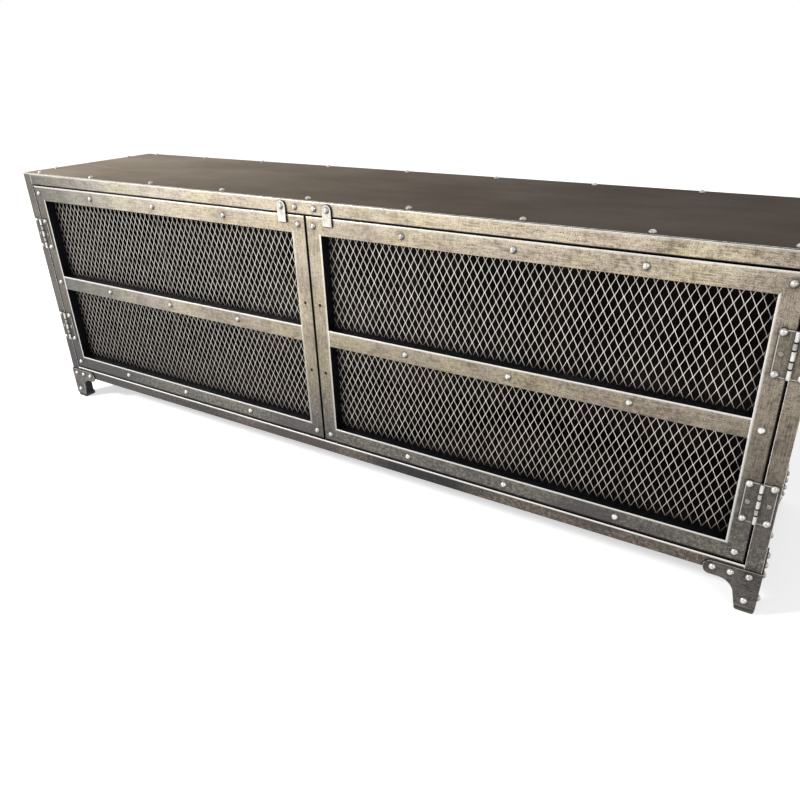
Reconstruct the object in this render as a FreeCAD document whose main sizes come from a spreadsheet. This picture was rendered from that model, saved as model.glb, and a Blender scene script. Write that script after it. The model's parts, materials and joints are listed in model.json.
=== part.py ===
import FreeCAD, Part
import math
import os

import Sketcher
from FreeCAD import Placement, Rotation, Vector

# Low steel media cabinet: a frame of square posts and angle rails under a riveted top sheet, two
# mesh doors on butt hinges, two turning latch tabs, and a riveted bracket at each foot.
# X runs along the front, Y to the back, Z up from the floor. The origin is on the floor under the
# middle of the case. Lengths are in millimetres.

# ---------------------------------------------------------------- driving sizes
SIZES = {
    # case
    "case_width": 1830,         # over the end posts
    "case_depth": 400,          # over the front and back posts
    "case_height": 560,         # underside of the bottom rails to the upper face of the top sheet
    "leg_height": 70,           # floor to the underside of the bottom rails
    "post_face": 27,            # square corner post
    "post_wall": 2,
    "angle_face": 26,           # angle rail, both legs alike
    "angle_wall": 3,
    "top_wall": 2,
    "panel_wall": 1.5,
    "panel_gap": 0.3,           # between a panel's cut edge and the steel beside it
    "panel_lift": 1.5,          # lower edge of the back and end sheets above the bottom sheet
    "port_diameter": 60,        # cable hole in the back sheet
    "port_rise": 440,           # cable hole centre above the bottom rails' underside
    # doors
    "door_gap": 3,
    "middle_gap": 4.5,          # between the two closed doors
    "door_depth": 23,
    "door_wall": 2,
    "stile_face": 34,
    "rail_face": 35,
    "door_rivet_shift": 8.5,    # second and fourth rivets of a rail, towards its ends
    "handle_pitch": 152.4,      # between the two handle screw holes
    "handle_drop": 6,           # handle centre below the door's centre
    "handle_hole": 4.5,
    # diamond mesh, in two crossed layers
    "mesh_wall": 1.5,
    "mesh_inset": 6,            # mesh sheet inside the door's outline
    "mesh_border": 9,           # plain edge of the mesh sheet
    "mesh_pitch_wide": 15.5,
    "mesh_pitch_high": 28.7,
    "mesh_strand": 2,
    # middle post and bearers
    "stop_gap": 0.5,            # least room between the closed doors and the middle post
    "middle_face": 40,
    "middle_depth": 20,
    "middle_wall": 2,
    # rivets
    "rivet_head": 13,
    "rivet_dome": 4.6,
    "rivet_shank": 5,
    "rivet_tail": 1.5,          # shank past the last sheet
    "hole_clearance": 0.1,      # around a shank
    "top_rivet_edge": 15,       # rivet row in from the top sheet's edge
    "top_rivet_corner": 50,     # last rivet of the long rows in from the case's end
    "top_rivet_shrink": 10,     # each step of the long rows is this much shorter than the last
    "side_rivet_spread": 115,   # top sheet's end rivets from the middle of the depth
    "panel_rivet_spread": 70,   # end panel rivets from the middle of the depth
    # hinges
    "hinge_height": 75,
    "hinge_inset": 121.5,       # hinge centre from the door's upper or lower edge
    "leaf_width": 24,           # hinge axis to the leaf's free edge
    "leaf_wall": 2,
    "axis_stand": 3.3,          # hinge axis in front of the door's face
    "knuckle_radius": 3,
    "short_knuckle": 11.5,
    "knuckle_gap": 1,
    "pin_radius": 1.5,
    "pin_clearance": 0.05,
    "pin_tip": 0.8,
    "leaf_rivet_reach": 18.3,   # hinge axis to the rivets
    "leaf_rivet_pitch": 66,
    "screw_reach": 16,          # hinge axis to the middle screw
    "screw_head": 8,
    "screw_rise": 0.8,
    # latches
    "latch_reach_out": 56.5,    # pivot from the middle of the case
    "latch_width": 21,
    "latch_drop": 31,           # pivot to the square end
    "latch_wall": 3,
    "latch_gap": 0.5,
    "pivot_radius": 3,
    "pivot_dome": 3.9,
    "plate_rivet_out": 24,
    # feet
    "bracket_wall": 3,
    "bracket_reach": 94,        # outer corner to the wing's end
    "wing_face": 28,
    "wing_rise": 18,            # wing's upper edge above the bottom rails' underside
    "leg_low_face": 34,
    "leg_high_face": 45,
    "bracket_arc": 28,
    "wing_end_radius": 12.5,
    "foot_rivet_edge": 16.7,    # first rivet in from the post's outer face
    "foot_rivet_pitch": 29.5,
    "foot_rivet_rise": 6.5,     # rivet row above the bottom rails' underside
    "low_rivet_rise": 26,       # lowest rivet above the floor
    "pad_height": 11,
    "pad_face": 33,
    "pad_overhang": 2.5,        # block past the post's outer faces
    "pad_neck": 3.5,
    "neck_inset": 3,            # neck inside the block on its outer sides
    "pad_radius": 5,
}

FRONT = Vector(0, -1, 0)
BACK = Vector(0, 1, 0)
LEFT = Vector(-1, 0, 0)
RIGHT = Vector(1, 0, 0)
UP = Vector(0, 0, 1)


class Size:
    """A length that knows both its value and the formula that ties it to the sheet."""

    def __init__(self, value, formula):
        self.value = float(value)
        self.formula = formula

    def __float__(self):
        return self.value

    def combine(self, other, sign, value, swapped=False):
        text = other.formula if isinstance(other, Size) else f"{float(other)}"
        pair = (text, self.formula) if swapped else (self.formula, text)
        return Size(value, f"({pair[0]} {sign} {pair[1]})")

    def __add__(self, other):
        return self.combine(other, "+", self.value + float(other))

    def __radd__(self, other):
        return self.combine(other, "+", float(other) + self.value, swapped=True)

    def __sub__(self, other):
        return self.combine(other, "-", self.value - float(other))

    def __rsub__(self, other):
        return self.combine(other, "-", float(other) - self.value, swapped=True)

    def __mul__(self, other):
        return self.combine(other, "*", self.value * float(other))

    __rmul__ = __mul__

    def __truediv__(self, other):
        return self.combine(other, "/", self.value / float(other))

    def __neg__(self):
        return self * -1

    def at_most(self, other):
        """The smaller of two lengths."""
        value = min(self.value, float(other))
        return Size(value, f"min({self.formula}; {other.formula})")

    def at_least(self, other):
        """The larger of two lengths."""
        value = max(self.value, float(other))
        return Size(value, f"max({self.formula}; {other.formula})")


class Sheet:
    """The spreadsheet's cells as Size attributes."""

    def __init__(self, document):
        cells = document.addObject("Spreadsheet::Sheet", "Sizes")
        for row, (name, value) in enumerate(SIZES.items(), start=1):
            cells.set(f"A{row}", name)
            cells.set(f"B{row}", str(value))
            cells.setAlias(f"B{row}", name)
        document.recompute()
        for name in SIZES:
            setattr(self, name, Size(cells.get(name), f"Sizes.{name}"))


doc = FreeCAD.newDocument("media_cabinet")
s = Sheet(doc)
nodes = []


# ---------------------------------------------------------------- modelling helpers
def bind(thing, path, size):
    """Tie a property to the sheet when its size comes from there."""
    if isinstance(size, Size):
        thing.setExpression(path, size.formula)


def new_body(label):
    body = doc.addObject("PartDesign::Body", label)
    body.Label = label
    nodes.append(body)
    return body


def put(thing, x, y, z, rotation=Rotation()):
    """Place a sub-part, with its base point tied to the sheet."""
    thing.Placement = Placement(Vector(float(x), float(y), float(z)), rotation)
    for letter, size in (("x", x), ("y", y), ("z", z)):
        bind(thing, f"Placement.Base.{letter}", size)


def new_sketch(body, role, lift=0):
    """A sketch on one of the body's own origin planes, or lifted along that plane's normal."""
    plane = next(f for f in body.Origin.OriginFeatures if f.Role == role)
    sketch = body.newObject("Sketcher::SketchObject", f"{body.Name}_sketch")
    sketch.AttachmentSupport = [(plane, "")]
    sketch.MapMode = "FlatFace"
    sketch.AttachmentOffset = Placement(Vector(0, 0, float(lift)), Rotation())
    bind(sketch, "AttachmentOffset.Base.z", lift)
    return sketch


def pin_point(sketch, geometry, point, across, up):
    """Hold a sketch point at its distances from the sketch's origin."""
    for kind, axis, size in (("DistanceX", -2, across), ("DistanceY", -1, up)):
        if not isinstance(size, Size):
            sketch.addConstraint(Sketcher.Constraint("PointOnObject", geometry, point, axis))
            continue
        if size.value < 0:
            ends = (geometry, point, -1, 1, -size.value)
            size = -size
        else:
            ends = (-1, 1, geometry, point, size.value)
        index = sketch.addConstraint(Sketcher.Constraint(kind, *ends))
        bind(sketch, f"Constraints[{index}]", size)


def outline(sketch, corners):
    """Close straight lines through the corners. A coordinate on an axis is a plain 0."""
    first = sketch.GeometryCount
    points = [Vector(float(across), float(up), 0) for across, up in corners]
    for i, point in enumerate(points):
        sketch.addGeometry(Part.LineSegment(point, points[(i + 1) % len(points)]))
    for i, (across, up) in enumerate(corners):
        before = first + (i - 1) % len(corners)
        sketch.addConstraint(Sketcher.Constraint("Coincident", first + i, 1, before, 2))
        pin_point(sketch, first + i, 1, across, up)


def circle(sketch, across, up, diameter):
    centre = Vector(float(across), float(up), 0)
    index = sketch.addGeometry(Part.Circle(centre, Vector(0, 0, 1), float(diameter) / 2))
    pin_point(sketch, index, 3, across, up)
    width = sketch.addConstraint(Sketcher.Constraint("Diameter", index, float(diameter)))
    bind(sketch, f"Constraints[{width}]", diameter)


def box_corners(x0, x1, y0, y1):
    return [(x0, y0), (x1, y0), (x1, y1), (x0, y1)]


def pad(body, role, outlines, length, lift=0):
    """Add material from a plane towards +X, +Y or +Z."""
    sketch = new_sketch(body, role, lift)
    for corners in outlines:
        outline(sketch, corners)
    return pad_sketch(body, role, sketch, length)


def pad_sketch(body, role, sketch, length):
    feature = body.newObject("PartDesign::Pad", f"{body.Name}_pad")
    feature.Profile = (sketch, [""])
    feature.Length = float(length)
    bind(feature, "Length", length)
    feature.Reversed = role == "XZ_Plane"
    return feature


def pocket(body, role, sketch, depth=None):
    """Cut from a plane towards +X, +Y or +Z, right through when no depth is given."""
    feature = body.newObject("PartDesign::Pocket", f"{body.Name}_pocket")
    feature.Profile = (sketch, [""])
    if depth is None:
        feature.Type = "ThroughAll"
    else:
        feature.Length = float(depth)
        bind(feature, "Length", depth)
    feature.Reversed = role != "XZ_Plane"
    return feature


def drill(body, role, points, diameter, depth=None, lift=0):
    """Round holes at the points of a plane."""
    sketch = new_sketch(body, role, lift)
    for across, up in points:
        circle(sketch, across, up, diameter)
    return pocket(body, role, sketch, depth)


def round_edges(body, direction, points, radius):
    """Fillet the straight edges that run along a direction through the points."""
    doc.recompute()
    tip = body.Tip
    names = []
    for index, edge in enumerate(tip.Shape.Edges, start=1):
        if not isinstance(edge.Curve, Part.Line):
            continue
        if edge.Curve.Direction.cross(direction).Length > 1e-6:
            continue
        if any(edge.distToShape(Part.Vertex(point))[0] < 1e-3 for point in points):
            names.append(f"Edge{index}")
    feature = body.newObject("PartDesign::Fillet", f"{body.Name}_fillet")
    feature.Base = (tip, names)
    feature.Radius = float(radius)
    bind(feature, "Radius", radius)
    return feature


def group(label, shapes):
    """Several separate solids, such as a set of rivets, in one node."""
    feature = doc.addObject("Part::Feature", label)
    feature.Label = label
    feature.Shape = Part.makeCompound(shapes)
    nodes.append(feature)
    return feature


def spin(profile):
    """Turn a half profile, given as edges in the XZ plane, about the Z axis."""
    return Part.Face(Part.Wire(profile)).revolve(Vector(0, 0, 0), UP, 360)


def line(start, end):
    return Part.LineSegment(Vector(start[0], 0, start[1]), Vector(end[0], 0, end[1])).toShape()


def round_head(head, dome, shank, length):
    """Domed rivet: the head's flat underside is at the origin, with its crown along +Z."""
    radius = float(head) / 2
    crown = float(dome)
    stem = float(shank) / 2
    end = -float(length)
    ball = (radius ** 2 + crown ** 2) / (2 * crown)
    half = math.asin(radius / ball) / 2
    middle = Vector(ball * math.sin(half), 0, crown - ball * (1 - math.cos(half)))
    arc = Part.Arc(Vector(radius, 0, 0), middle, Vector(0, 0, crown)).toShape()
    return spin([arc, line((0, crown), (0, end)), line((0, end), (stem, end)),
                 line((stem, end), (stem, 0)), line((stem, 0), (radius, 0))])


def flat_head(length):
    """Low screw head with a bevelled rim, its underside at the origin."""
    radius = float(s.screw_head) / 2
    rise = float(s.screw_rise)
    stem = float(s.rivet_shank) / 2
    end = -float(length)
    rim = radius - rise / 2
    return spin([line((0, rise), (0, end)), line((0, end), (stem, end)), line((stem, end), (stem, 0)),
                 line((stem, 0), (radius, 0)), line((radius, 0), (radius, rise / 2)),
                 line((radius, rise / 2), (rim, rise)), line((rim, rise), (0, rise))])


def stand(shape, x, y, z, facing):
    """A copy of a fastener with its underside at a point and its crown facing outwards."""
    copy = shape.copy()
    copy.Placement = Placement(Vector(float(x), float(y), float(z)), Rotation(UP, facing))
    return copy


# ---------------------------------------------------------------- shared places
half_width = s.case_width / 2
half_depth = s.case_depth / 2
front = -half_depth
frame_foot = s.leg_height
top_face = s.leg_height + s.case_height
frame_top = top_face - s.top_wall

rail_length = s.case_width - 2 * s.post_face
end_rail_length = s.case_depth - 2 * s.post_face

door_width = half_width - s.post_face - s.door_gap - s.middle_gap / 2
door_foot = frame_foot + s.angle_face + s.door_gap
door_height = s.case_height - s.top_wall - 2 * s.angle_face - 2 * s.door_gap
hinge_out = half_width - s.post_face - s.door_gap / 2
hinge_front = front - s.axis_stand
hinge_heights = {"upper": door_foot + door_height - s.hinge_inset, "lower": door_foot + s.hinge_inset}

shank_hole = s.rivet_shank + 2 * s.hole_clearance
latch_height = frame_top - s.angle_face / 2


def top_rivet_places():
    """Nine rivets to a long row of the top, in four steps a side that shorten towards the ends."""
    mean_step = (half_width - s.top_rivet_corner) / 4
    step = mean_step + s.top_rivet_shrink * 1.5
    outwards = [step]
    for _ in range(3):
        step = step - s.top_rivet_shrink
        outwards.append(outwards[-1] + step)
    return [-x for x in reversed(outwards)] + [0] + outwards


top_rivet_xs = top_rivet_places()
panel_rivet_xs = top_rivet_xs[1:-1]
foot_rivets = [s.foot_rivet_edge + s.foot_rivet_pitch * i for i in range(3)]

# The four corners, each with the turn that carries the front left corner's shape to it.
CORNERS = {
    "front_left": (-half_width, front, 0),
    "front_right": (half_width, front, 90),
    "back_right": (half_width, half_depth, 180),
    "back_left": (-half_width, half_depth, 270),
}


# ---------------------------------------------------------------- case frame
def corner_post(corner):
    """Square tube from the foot pad to the top sheet, drilled for its bracket and hinges."""
    x, y, turn = CORNERS[corner]
    body = new_body(f"{corner}_post")
    far = s.post_face - s.post_wall
    square = box_corners(0, s.post_face, 0, s.post_face)
    bore = box_corners(s.post_wall, far, s.post_wall, far)
    pad(body, "XY_Plane", [square, bore], frame_top - s.pad_height)
    bracket_holes = [(s.foot_rivet_edge, s.low_rivet_rise - s.pad_height),
                     (s.foot_rivet_edge, frame_foot + s.foot_rivet_rise - s.pad_height)]
    for role in ("XZ_Plane", "YZ_Plane"):
        drill(body, role, bracket_holes, shank_hole, s.post_wall)
    if corner.startswith("front"):
        face = "XZ_Plane" if turn == 0 else "YZ_Plane"
        inner = s.post_face + s.door_gap / 2
        hinge_holes = []
        for height in hinge_heights.values():
            level = height - s.pad_height
            hinge_holes.append((inner - s.leaf_rivet_reach, level - s.leaf_rivet_pitch / 2))
            hinge_holes.append((inner - s.screw_reach, level))
            hinge_holes.append((inner - s.leaf_rivet_reach, level + s.leaf_rivet_pitch / 2))
        drill(body, face, hinge_holes, shank_hole, s.post_wall)
    put(body, x, y, s.pad_height, Rotation(UP, turn))


def angle_bar(label, length, x, y, z, turn, leg_up):
    """Angle iron along its own X from its outer corner line.

    One leg lies on the outer side and the other on the underside, or on the upper side when
    leg_up is False, which rolls the bar a quarter turn about its corner line.
    """
    body = new_body(label)
    profile = [(0, 0), (s.angle_face, 0), (s.angle_face, s.angle_wall),
               (s.angle_wall, s.angle_wall), (s.angle_wall, s.angle_face), (0, s.angle_face)]
    pad(body, "YZ_Plane", [profile], length)
    roll = Rotation(Vector(1, 0, 0), 0 if leg_up else -90)
    put(body, x, y, z, Rotation(UP, turn).multiply(roll))
    return body


def rail_pair(name, length, x, y, turn, top_points, panel_points, latch_points):
    """Upper and lower rail of one side. Points run along the rail from its start."""
    upper = angle_bar(f"{name}_top_rail", length, x, y, frame_top, turn, leg_up=False)
    drill(upper, "XZ_Plane", [(p, s.top_rivet_edge) for p in top_points], shank_hole)
    middle = s.angle_face / 2
    if panel_points["top"]:
        drill(upper, "XY_Plane", [(p, middle) for p in panel_points["top"]], shank_hole)
    if latch_points:
        plate_holes = [(p, middle) for p in latch_points["plate"]]
        drill(upper, "XY_Plane", plate_holes, shank_hole)
        pivot_holes = [(p, middle) for p in latch_points["pivot"]]
        drill(upper, "XY_Plane", pivot_holes, 2 * s.pivot_radius + 2 * s.hole_clearance)
    lower = angle_bar(f"{name}_bottom_rail", length, x, y, frame_foot, turn, leg_up=True)
    wing_points = [p - s.post_face for p in foot_rivets[1:]]
    wing_points += [length - p for p in wing_points]
    drill(lower, "XZ_Plane", [(p, s.foot_rivet_rise) for p in wing_points], shank_hole)
    if panel_points["bottom"]:
        drill(lower, "XZ_Plane", [(p, middle) for p in panel_points["bottom"]], shank_hole)


def case_rails():
    middle = rail_length / 2
    latch_points = {
        "plate": [middle - s.plate_rivet_out, middle + s.plate_rivet_out],
        "pivot": [middle - s.latch_reach_out, middle + s.latch_reach_out],
    }
    along = [middle + x for x in top_rivet_xs]
    none = {"top": [], "bottom": []}
    rail_pair("front", rail_length, -middle, front, 0, along, none, latch_points)
    back_panel = [middle + x for x in panel_rivet_xs]
    panel = {"top": back_panel, "bottom": back_panel}
    rail_pair("back", rail_length, middle, half_depth, 180, along, panel, None)
    end_middle = end_rail_length / 2
    end_top = [end_middle - s.side_rivet_spread, end_middle + s.side_rivet_spread]
    end_panel = [end_middle - s.panel_rivet_spread, end_middle + s.panel_rivet_spread]
    panel = {"top": end_panel, "bottom": end_panel}
    rail_pair("left", end_rail_length, -half_width, end_middle, 270, end_top, panel, None)
    rail_pair("right", end_rail_length, half_width, -end_middle, 90, end_top, panel, None)


def middle_supports():
    """Post behind the meeting stiles and the front rails' legs, and the two bearers."""
    stop = (front + s.door_depth + s.mesh_wall + s.stop_gap).at_least(front + s.angle_face)
    floor = frame_foot + s.angle_wall + s.panel_wall
    body = new_body("centre_post")
    wall = s.middle_wall
    pad(body, "XY_Plane", [box_corners(0, s.middle_face, 0, s.middle_depth),
                           box_corners(wall, s.middle_face - wall, wall, s.middle_depth - wall)],
        frame_top - floor)
    put(body, -s.middle_face / 2, stop, floor)

    start = stop + s.middle_depth
    length = half_depth - s.angle_face - start
    angle_bar("top_bearer", length, s.angle_face / 2, start, frame_top, 90, leg_up=False)

    bearer = new_body("bottom_bearer")
    pad(bearer, "XY_Plane", [box_corners(0, s.middle_face, 0, s.case_depth - 2 * s.angle_face)],
        s.angle_wall)
    put(bearer, -s.middle_face / 2, front + s.angle_face, frame_foot)


def top_sheet():
    body = new_body("top_sheet")
    pad(body, "XY_Plane", [box_corners(0, s.case_width, 0, s.case_depth)], s.top_wall)
    points = []
    for x in top_rivet_xs:
        points.append((half_width + x, s.top_rivet_edge))
        points.append((half_width + x, s.case_depth - s.top_rivet_edge))
    for y in (half_depth - s.side_rivet_spread, half_depth + s.side_rivet_spread):
        points.append((s.top_rivet_edge, y))
        points.append((s.case_width - s.top_rivet_edge, y))
    drill(body, "XY_Plane", points, shank_hole)
    put(body, -half_width, front, frame_top)


def bottom_sheet():
    """Floor panel on the bottom rails, notched round the four posts."""
    body = new_body("bottom_sheet")
    edge = s.angle_wall + s.panel_gap
    notch = s.post_face - s.angle_wall
    wide = s.case_width - 2 * edge
    deep = s.case_depth - 2 * edge
    corners = [(notch, 0), (wide - notch, 0), (wide - notch, notch), (wide, notch),
               (wide, deep - notch), (wide - notch, deep - notch), (wide - notch, deep), (notch, deep),
               (notch, deep - notch), (0, deep - notch), (0, notch), (notch, notch)]
    pad(body, "XY_Plane", [corners], s.panel_wall)
    put(body, -half_width + edge, front + edge, frame_foot + s.angle_wall)


panel_foot = frame_foot + s.angle_wall + s.panel_wall + s.panel_lift
panel_height = frame_top - s.angle_wall - s.panel_gap - panel_foot
panel_rivet_levels = {"bottom": frame_foot + s.angle_face / 2, "top": frame_top - s.angle_face / 2}


def end_sheet(name, x):
    """End panel between two posts, against the inner faces of the end rails."""
    body = new_body(f"{name}_side_sheet")
    length = end_rail_length - 2 * s.panel_gap
    pad(body, "YZ_Plane", [box_corners(0, length, 0, panel_height)], s.panel_wall)
    points = []
    for level in panel_rivet_levels.values():
        for spread in (-s.panel_rivet_spread, s.panel_rivet_spread):
            points.append((length / 2 + spread, level - panel_foot))
    drill(body, "YZ_Plane", points, shank_hole)
    put(body, x, -length / 2, panel_foot)


def back_sheet():
    """Back panel against the inner faces of the back rails, with a cable hole behind each door."""
    body = new_body("back_sheet")
    length = rail_length - 2 * s.panel_gap
    pad(body, "XZ_Plane", [box_corners(0, length, 0, panel_height)], s.panel_wall)
    points = []
    for level in panel_rivet_levels.values():
        points += [(length / 2 + x, level - panel_foot) for x in panel_rivet_xs]
    drill(body, "XZ_Plane", points, shank_hole)
    rise = frame_foot + s.port_rise - panel_foot
    quarter = length / 4
    ports = [(quarter, rise), (length - quarter, rise)]
    drill(body, "XZ_Plane", ports, s.port_diameter)
    put(body, -length / 2, half_depth - s.angle_wall - s.panel_wall, panel_foot)


def foot_bracket(corner):
    """Bent plate round a corner: two rounded wings on the rails and a leg down the post."""
    x, y, turn = CORNERS[corner]
    body = new_body(f"{corner}_foot_bracket")
    top = frame_foot + s.wing_rise - s.pad_height
    wing = top - s.wing_face
    profile = [(0, 0), (s.leg_low_face, 0), (s.leg_high_face, wing),
               (s.bracket_reach, wing), (s.bracket_reach, top), (0, top)]
    pad(body, "XZ_Plane", [profile], s.bracket_wall)
    pad(body, "YZ_Plane", [profile], s.bracket_wall)

    wall = s.bracket_wall
    holes = [(wall + p, frame_foot + s.foot_rivet_rise - s.pad_height) for p in foot_rivets]
    holes.append((wall + s.foot_rivet_edge, s.low_rivet_rise - s.pad_height))
    for role in ("XZ_Plane", "YZ_Plane"):
        drill(body, role, holes, shank_hole, wall)

    mid = float(wall) / 2
    reach, high = float(s.bracket_reach), float(s.leg_high_face)
    low_z, top_z = float(wing), float(top)
    ends_x = [Vector(reach, mid, low_z), Vector(reach, mid, top_z)]
    ends_y = [Vector(mid, reach, low_z), Vector(mid, reach, top_z)]
    end_radius = s.wing_end_radius.at_most(s.wing_face * 0.45)
    round_edges(body, BACK, ends_x, end_radius)
    round_edges(body, RIGHT, ends_y, end_radius)
    round_edges(body, BACK, [Vector(high, mid, low_z)], s.bracket_arc)
    round_edges(body, RIGHT, [Vector(mid, high, low_z)], s.bracket_arc)
    round_edges(body, UP, [Vector(0, 0, top_z / 2)], s.bracket_wall / 2)

    offset = Rotation(UP, turn).multVec(Vector(-1, -1, 0))
    put(body, x + wall * round(offset.x), y + wall * round(offset.y), s.pad_height,
        Rotation(UP, turn))


def foot_pad(corner):
    """Glide under the post: a narrow neck on a block with rounded lower edges."""
    x, y, turn = CORNERS[corner]
    body = new_body(f"{corner}_foot_pad")
    block = s.pad_height - s.pad_neck
    pad(body, "XY_Plane", [box_corners(0, s.pad_face, 0, s.pad_face)], block)
    far = s.pad_face - s.neck_inset / 2
    neck = box_corners(s.neck_inset, far, s.neck_inset, far)
    pad(body, "XY_Plane", [neck], s.pad_neck, lift=block)
    face, mid = float(s.pad_face), float(s.pad_face) / 2
    low = float(block) / 2
    uprights = [Vector(px, py, low) for px in (0, face) for py in (0, face)]
    round_edges(body, UP, uprights, s.pad_radius)
    round_edges(body, RIGHT, [Vector(mid, 0, 0)], s.pad_radius)
    offset = Rotation(UP, turn).multVec(Vector(-1, -1, 0))
    put(body, x + s.pad_overhang * round(offset.x), y + s.pad_overhang * round(offset.y), 0,
        Rotation(UP, turn))


# ---------------------------------------------------------------- case fasteners
def top_rivets():
    rivet = round_head(s.rivet_head, s.rivet_dome, s.rivet_shank,
                       s.top_wall + s.angle_wall + s.rivet_tail)
    shapes = []
    for y in (front + s.top_rivet_edge, half_depth - s.top_rivet_edge):
        shapes += [stand(rivet, x, y, top_face, UP) for x in top_rivet_xs]
    for x in (-half_width + s.top_rivet_edge, half_width - s.top_rivet_edge):
        shapes += [stand(rivet, x, y, top_face, UP) for y in (-s.side_rivet_spread, s.side_rivet_spread)]
    group("top_rivets", shapes)


def panel_rivets():
    rivet = round_head(s.rivet_head, s.rivet_dome, s.rivet_shank,
                       s.angle_wall + s.panel_wall + s.rivet_tail)
    shapes = []
    for level in panel_rivet_levels.values():
        shapes += [stand(rivet, x, half_depth, level, BACK) for x in panel_rivet_xs]
        for y in (-s.panel_rivet_spread, s.panel_rivet_spread):
            shapes.append(stand(rivet, -half_width, y, level, LEFT))
            shapes.append(stand(rivet, half_width, y, level, RIGHT))
    group("panel_rivets", shapes)


def foot_bracket_rivets():
    """Rivets through bracket and post, and ones that end flush inside the rails, under the panels."""
    into_post = round_head(s.rivet_head, s.rivet_dome, s.rivet_shank,
                           s.bracket_wall + s.post_wall + s.rivet_tail)
    into_rail = round_head(s.rivet_head, s.rivet_dome, s.rivet_shank,
                           s.bracket_wall + s.angle_wall - s.hole_clearance)
    shapes = []
    row = frame_foot + s.foot_rivet_rise
    points = [(into_post, foot_rivets[0], row), (into_post, foot_rivets[0], s.low_rivet_rise),
              (into_rail, foot_rivets[1], row), (into_rail, foot_rivets[2], row)]
    for side in (-1, 1):
        for rivet, along, level in points:
            x = side * (half_width - along)
            y = side * (half_depth - along)
            skin_x = half_width + s.bracket_wall
            skin_y = half_depth + s.bracket_wall
            shapes.append(stand(rivet, x, -skin_y, level, FRONT))
            shapes.append(stand(rivet, x, skin_y, level, BACK))
            shapes.append(stand(rivet, -skin_x, y, level, LEFT))
            shapes.append(stand(rivet, skin_x, y, level, RIGHT))
    group("foot_rivets", shapes)


def latch_fasteners():
    rivet = round_head(s.rivet_head, s.rivet_dome, s.rivet_shank, s.angle_wall + s.rivet_tail)
    group("latch_plate_rivets",
          [stand(rivet, x, front, latch_height, FRONT) for x in (-s.plate_rivet_out, s.plate_rivet_out)])
    stack = s.latch_gap + s.latch_wall + s.hole_clearance
    pivot = round_head(s.rivet_head, s.pivot_dome, 2 * s.pivot_radius,
                       stack + s.angle_wall + s.rivet_tail)
    group("latch_pivots",
          [stand(pivot, x, front - stack, latch_height, FRONT)
           for x in (-s.latch_reach_out, s.latch_reach_out)])


# ---------------------------------------------------------------- hinges
def knuckle_spans():
    """Lower and upper end of the five knuckles, long and short in turn."""
    long = (s.hinge_height - 2 * s.short_knuckle - 4 * s.knuckle_gap) / 3
    spans = [(0, long)]
    for index in range(1, 5):
        start, height = spans[-1]
        after = long if index % 2 == 0 else s.short_knuckle
        spans.append((start + height + s.knuckle_gap, after))
    return spans


def hinge_leaf(label, own_first, x, level, mirrored):
    """Leaf with its plate's front face at y = 0, and the pin's axis in front of it along Z.

    The plate is cut back beside the other leaf's knuckles. A mirrored leaf is the same leaf turned
    half round about Y, which its up and down symmetry allows.
    """
    body = new_body(label)
    relief = s.knuckle_radius + s.knuckle_gap
    own = knuckle_spans()[own_first::2]
    pad(body, "XZ_Plane", [box_corners(relief, s.leaf_width, 0, s.hinge_height)], s.leaf_wall)
    tabs = [box_corners(0, relief + s.leaf_wall, start, start + height) for start, height in own]
    pad(body, "XZ_Plane", tabs, s.leaf_wall)
    axis_y = -(s.axis_stand - s.leaf_wall)
    for start, height in own:
        knuckle = body.newObject("PartDesign::AdditiveCylinder", f"{body.Name}_knuckle")
        bind(knuckle, "Radius", s.knuckle_radius)
        bind(knuckle, "Height", height)
        put(knuckle, 0, axis_y, start)
    bore = body.newObject("PartDesign::SubtractiveCylinder", f"{body.Name}_bore")
    bind(bore, "Radius", s.pin_radius + s.pin_clearance)
    bind(bore, "Height", s.hinge_height)
    put(bore, 0, axis_y, 0)
    middle = s.hinge_height / 2
    holes = [(s.leaf_rivet_reach, middle - s.leaf_rivet_pitch / 2), (s.screw_reach, middle),
             (s.leaf_rivet_reach, middle + s.leaf_rivet_pitch / 2)]
    drill(body, "XZ_Plane", holes, shank_hole, s.leaf_wall)
    if mirrored:
        put(body, x, front - s.leaf_wall, level + middle, Rotation(BACK, 180))
    else:
        put(body, x, front - s.leaf_wall, level - middle)


def hinges():
    """Two hinges to a door: the frame's leaf holds the long knuckles, the door's leaf the short."""
    for side, sign in (("left", -1), ("right", 1)):
        for name, level in hinge_heights.items():
            x = sign * hinge_out
            hinge_leaf(f"{side}_{name}_frame_leaf", 0, x, level, mirrored=sign < 0)
            hinge_leaf(f"{side}_{name}_door_leaf", 1, x, level, mirrored=sign > 0)


def hinge_pins():
    radius, tip = float(s.pin_radius), float(s.pin_tip)
    half = float(s.hinge_height) / 2
    corners = [(0, half + tip), (0, -half - tip), (radius / 2, -half - tip), (radius, -half),
               (radius, half), (radius / 2, half + tip)]
    pin = spin([line(start, end) for start, end in zip(corners, corners[1:] + corners[:1])])
    group("hinge_pins", [stand(pin, x, hinge_front, level, UP)
                         for x in (-hinge_out, hinge_out) for level in hinge_heights.values()])


def leaf_fasteners(x, toward):
    """Two domed rivets and a flat screw for each hinge leaf on one side of the axis line."""
    under = s.leaf_wall + s.post_wall + s.rivet_tail
    rivet = round_head(s.rivet_head, s.rivet_dome, s.rivet_shank, under)
    screw = flat_head(under)
    skin = front - s.leaf_wall
    shapes = []
    for level in hinge_heights.values():
        for offset in (-s.leaf_rivet_pitch / 2, s.leaf_rivet_pitch / 2):
            shapes.append(stand(rivet, x + toward * s.leaf_rivet_reach, skin, level + offset, FRONT))
        shapes.append(stand(screw, x + toward * s.screw_reach, skin, level, FRONT))
    return shapes


# ---------------------------------------------------------------- doors
mesh_width = door_width - 2 * s.mesh_inset
mesh_height = door_height - 2 * s.mesh_inset


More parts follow.
